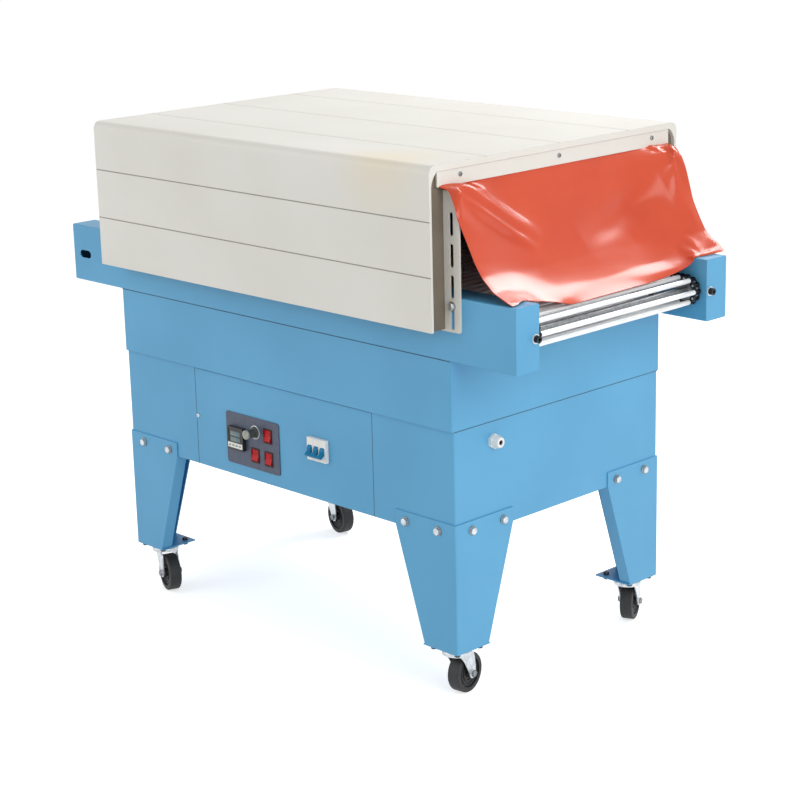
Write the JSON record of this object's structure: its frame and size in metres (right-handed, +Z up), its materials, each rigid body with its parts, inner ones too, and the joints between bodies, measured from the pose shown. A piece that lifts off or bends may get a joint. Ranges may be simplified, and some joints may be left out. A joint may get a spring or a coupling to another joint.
{
  "type": "heat shrink tunnel",
  "caption": "Floor-standing heat shrink tunnel: insulated hood with silicone end curtains over a chain-driven rod conveyor, on a sheet-metal cabinet with legs and swivel casters.",
  "frame": {"origin": "on the floor, under the middle of the machine", "axes": "+X along the conveyor to the exit, -Y the side with the controls, +Z up"},
  "size_m": [1.32, 0.696, 1.038],
  "materials": {
    "powder_blue": "satin powder coat",
    "cream_coat": "satin powder coat",
    "taupe_coat": "satin powder coat",
    "zinc_plate": "zinc plated",
    "silicone_sheet": "smooth silicone-coated sheet",
    "oiled_steel": "oiled steel",
    "rod_steel": "bright plated tube",
    "slate_plate": "satin print-free plate",
    "black_plastic": "moulded",
    "red_plastic": "moulded",
    "white_plastic": "moulded",
    "blue_plastic": "moulded",
    "knob_grey": "moulded",
    "black_rubber": "moulded"
  },
  "bodies": {
    "chassis": {"front_rail": "powder_blue", "rear_rail": "powder_blue", "upper_cabinet": "powder_blue", "lower_cabinet": "powder_blue", "access_panel": "powder_blue", "leg_front_exit": "powder_blue", "leg_front_entry": "powder_blue", "leg_rear_exit": "powder_blue", "leg_rear_entry": "powder_blue", "caster_plates": "zinc_plate", "front_chamber_wall": "taupe_coat", "rear_chamber_wall": "taupe_coat", "chamber_roof": "taupe_coat", "front_lower_board": "cream_coat", "front_middle_board": "cream_coat", "front_shoulder_board": "cream_coat", "top_front_board": "cream_coat", "top_rear_board": "cream_coat", "rear_shoulder_board": "cream_coat", "rear_middle_board": "cream_coat", "rear_lower_board": "cream_coat", "slotted_strips": "cream_coat", "exit_clamp_bar": "cream_coat", "entry_clamp_bar": "cream_coat", "exit_curtain": "silicone_sheet", "entry_curtain": "silicone_sheet", "front_chain": "oiled_steel", "rear_chain": "oiled_steel", "conveyor_rods": "rod_steel", "exit_shaft": "oiled_steel", "entry_shaft": "oiled_steel", "tension_bolts": "oiled_steel", "control_plate": "slate_plate", "temperature_controller": "black_plastic", "rocker_bezels": "red_plastic", "breaker": "white_plastic", "cable_gland": "white_plastic"},
    "fork_front_exit": {"fork_front_exit": "zinc_plate"},
    "wheel_front_exit": {"wheel_front_exit": "black_rubber"},
    "fork_front_entry": {"fork_front_entry": "zinc_plate"},
    "wheel_front_entry": {"wheel_front_entry": "black_rubber"},
    "fork_rear_exit": {"fork_rear_exit": "zinc_plate"},
    "wheel_rear_exit": {"wheel_rear_exit": "black_rubber"},
    "fork_rear_entry": {"fork_rear_entry": "zinc_plate"},
    "wheel_rear_entry": {"wheel_rear_entry": "black_rubber"},
    "speed_knob": {"speed_knob": "knob_grey"},
    "upper_rocker": {"upper_rocker": "red_plastic"},
    "left_rocker": {"left_rocker": "red_plastic"},
    "right_rocker": {"right_rocker": "red_plastic"},
    "breaker_toggle": {"breaker_toggle": "blue_plastic"}
  },
  "joints": [
    {"name": "swivel_front_exit", "type": "hinge", "parent": "chassis", "child": "fork_front_exit", "pos_m": [0.447, -0.2551, 0.09], "axis": [0, 0, 1], "continuous": true},
    {"name": "roll_front_exit", "type": "hinge", "parent": "fork_front_exit", "child": "wheel_front_exit", "pos_m": [0.44366, -0.23133, 0.04], "axis": [-0.9903, -0.1392, 0], "continuous": true},
    {"name": "swivel_front_entry", "type": "hinge", "parent": "chassis", "child": "fork_front_entry", "pos_m": [-0.447, -0.2551, 0.09], "axis": [0, 0, 1], "continuous": true},
    {"name": "roll_front_entry", "type": "hinge", "parent": "fork_front_entry", "child": "wheel_front_entry", "pos_m": [-0.42431, -0.26291, 0.04], "axis": [0.3256, 0.9455, 0], "continuous": true},
    {"name": "swivel_rear_exit", "type": "hinge", "parent": "chassis", "child": "fork_rear_exit", "pos_m": [0.447, 0.2551, 0.09], "axis": [0, 0, 1], "continuous": true},
    {"name": "roll_rear_exit", "type": "hinge", "parent": "fork_rear_exit", "child": "wheel_rear_exit", "pos_m": [0.43686, 0.27685, 0.04], "axis": [-0.9063, -0.4226, 0], "continuous": true},
    {"name": "swivel_rear_entry", "type": "hinge", "parent": "chassis", "child": "fork_rear_entry", "pos_m": [-0.447, 0.2551, 0.09], "axis": [0, 0, 1], "continuous": true},
    {"name": "roll_rear_entry", "type": "hinge", "parent": "fork_rear_entry", "child": "wheel_rear_entry", "pos_m": [-0.42352, 0.25011, 0.04], "axis": [0.2079, 0.9781, 0], "continuous": true},
    {"name": "speed_turn", "type": "hinge", "parent": "chassis", "child": "speed_knob", "pos_m": [-0.073, -0.3, 0.4345], "axis": [0, 1, 0], "range_deg": [0, 270]},
    {"name": "upper_rocker_tilt", "type": "hinge", "parent": "chassis", "child": "upper_rocker", "pos_m": [-0.0335, -0.2956, 0.4335], "axis": [1, 0, 0], "range_deg": [0, 18]},
    {"name": "left_rocker_tilt", "type": "hinge", "parent": "chassis", "child": "left_rocker", "pos_m": [-0.074, -0.2956, 0.3855], "axis": [1, 0, 0], "range_deg": [0, 18]},
    {"name": "right_rocker_tilt", "type": "hinge", "parent": "chassis", "child": "right_rocker", "pos_m": [-0.0325, -0.2956, 0.3855], "axis": [1, 0, 0], "range_deg": [0, 18]},
    {"name": "breaker_throw", "type": "hinge", "parent": "chassis", "child": "breaker_toggle", "pos_m": [0.118, -0.2986, 0.436], "axis": [-1, 0, 0], "range_deg": [0, 76]}
  ]
}
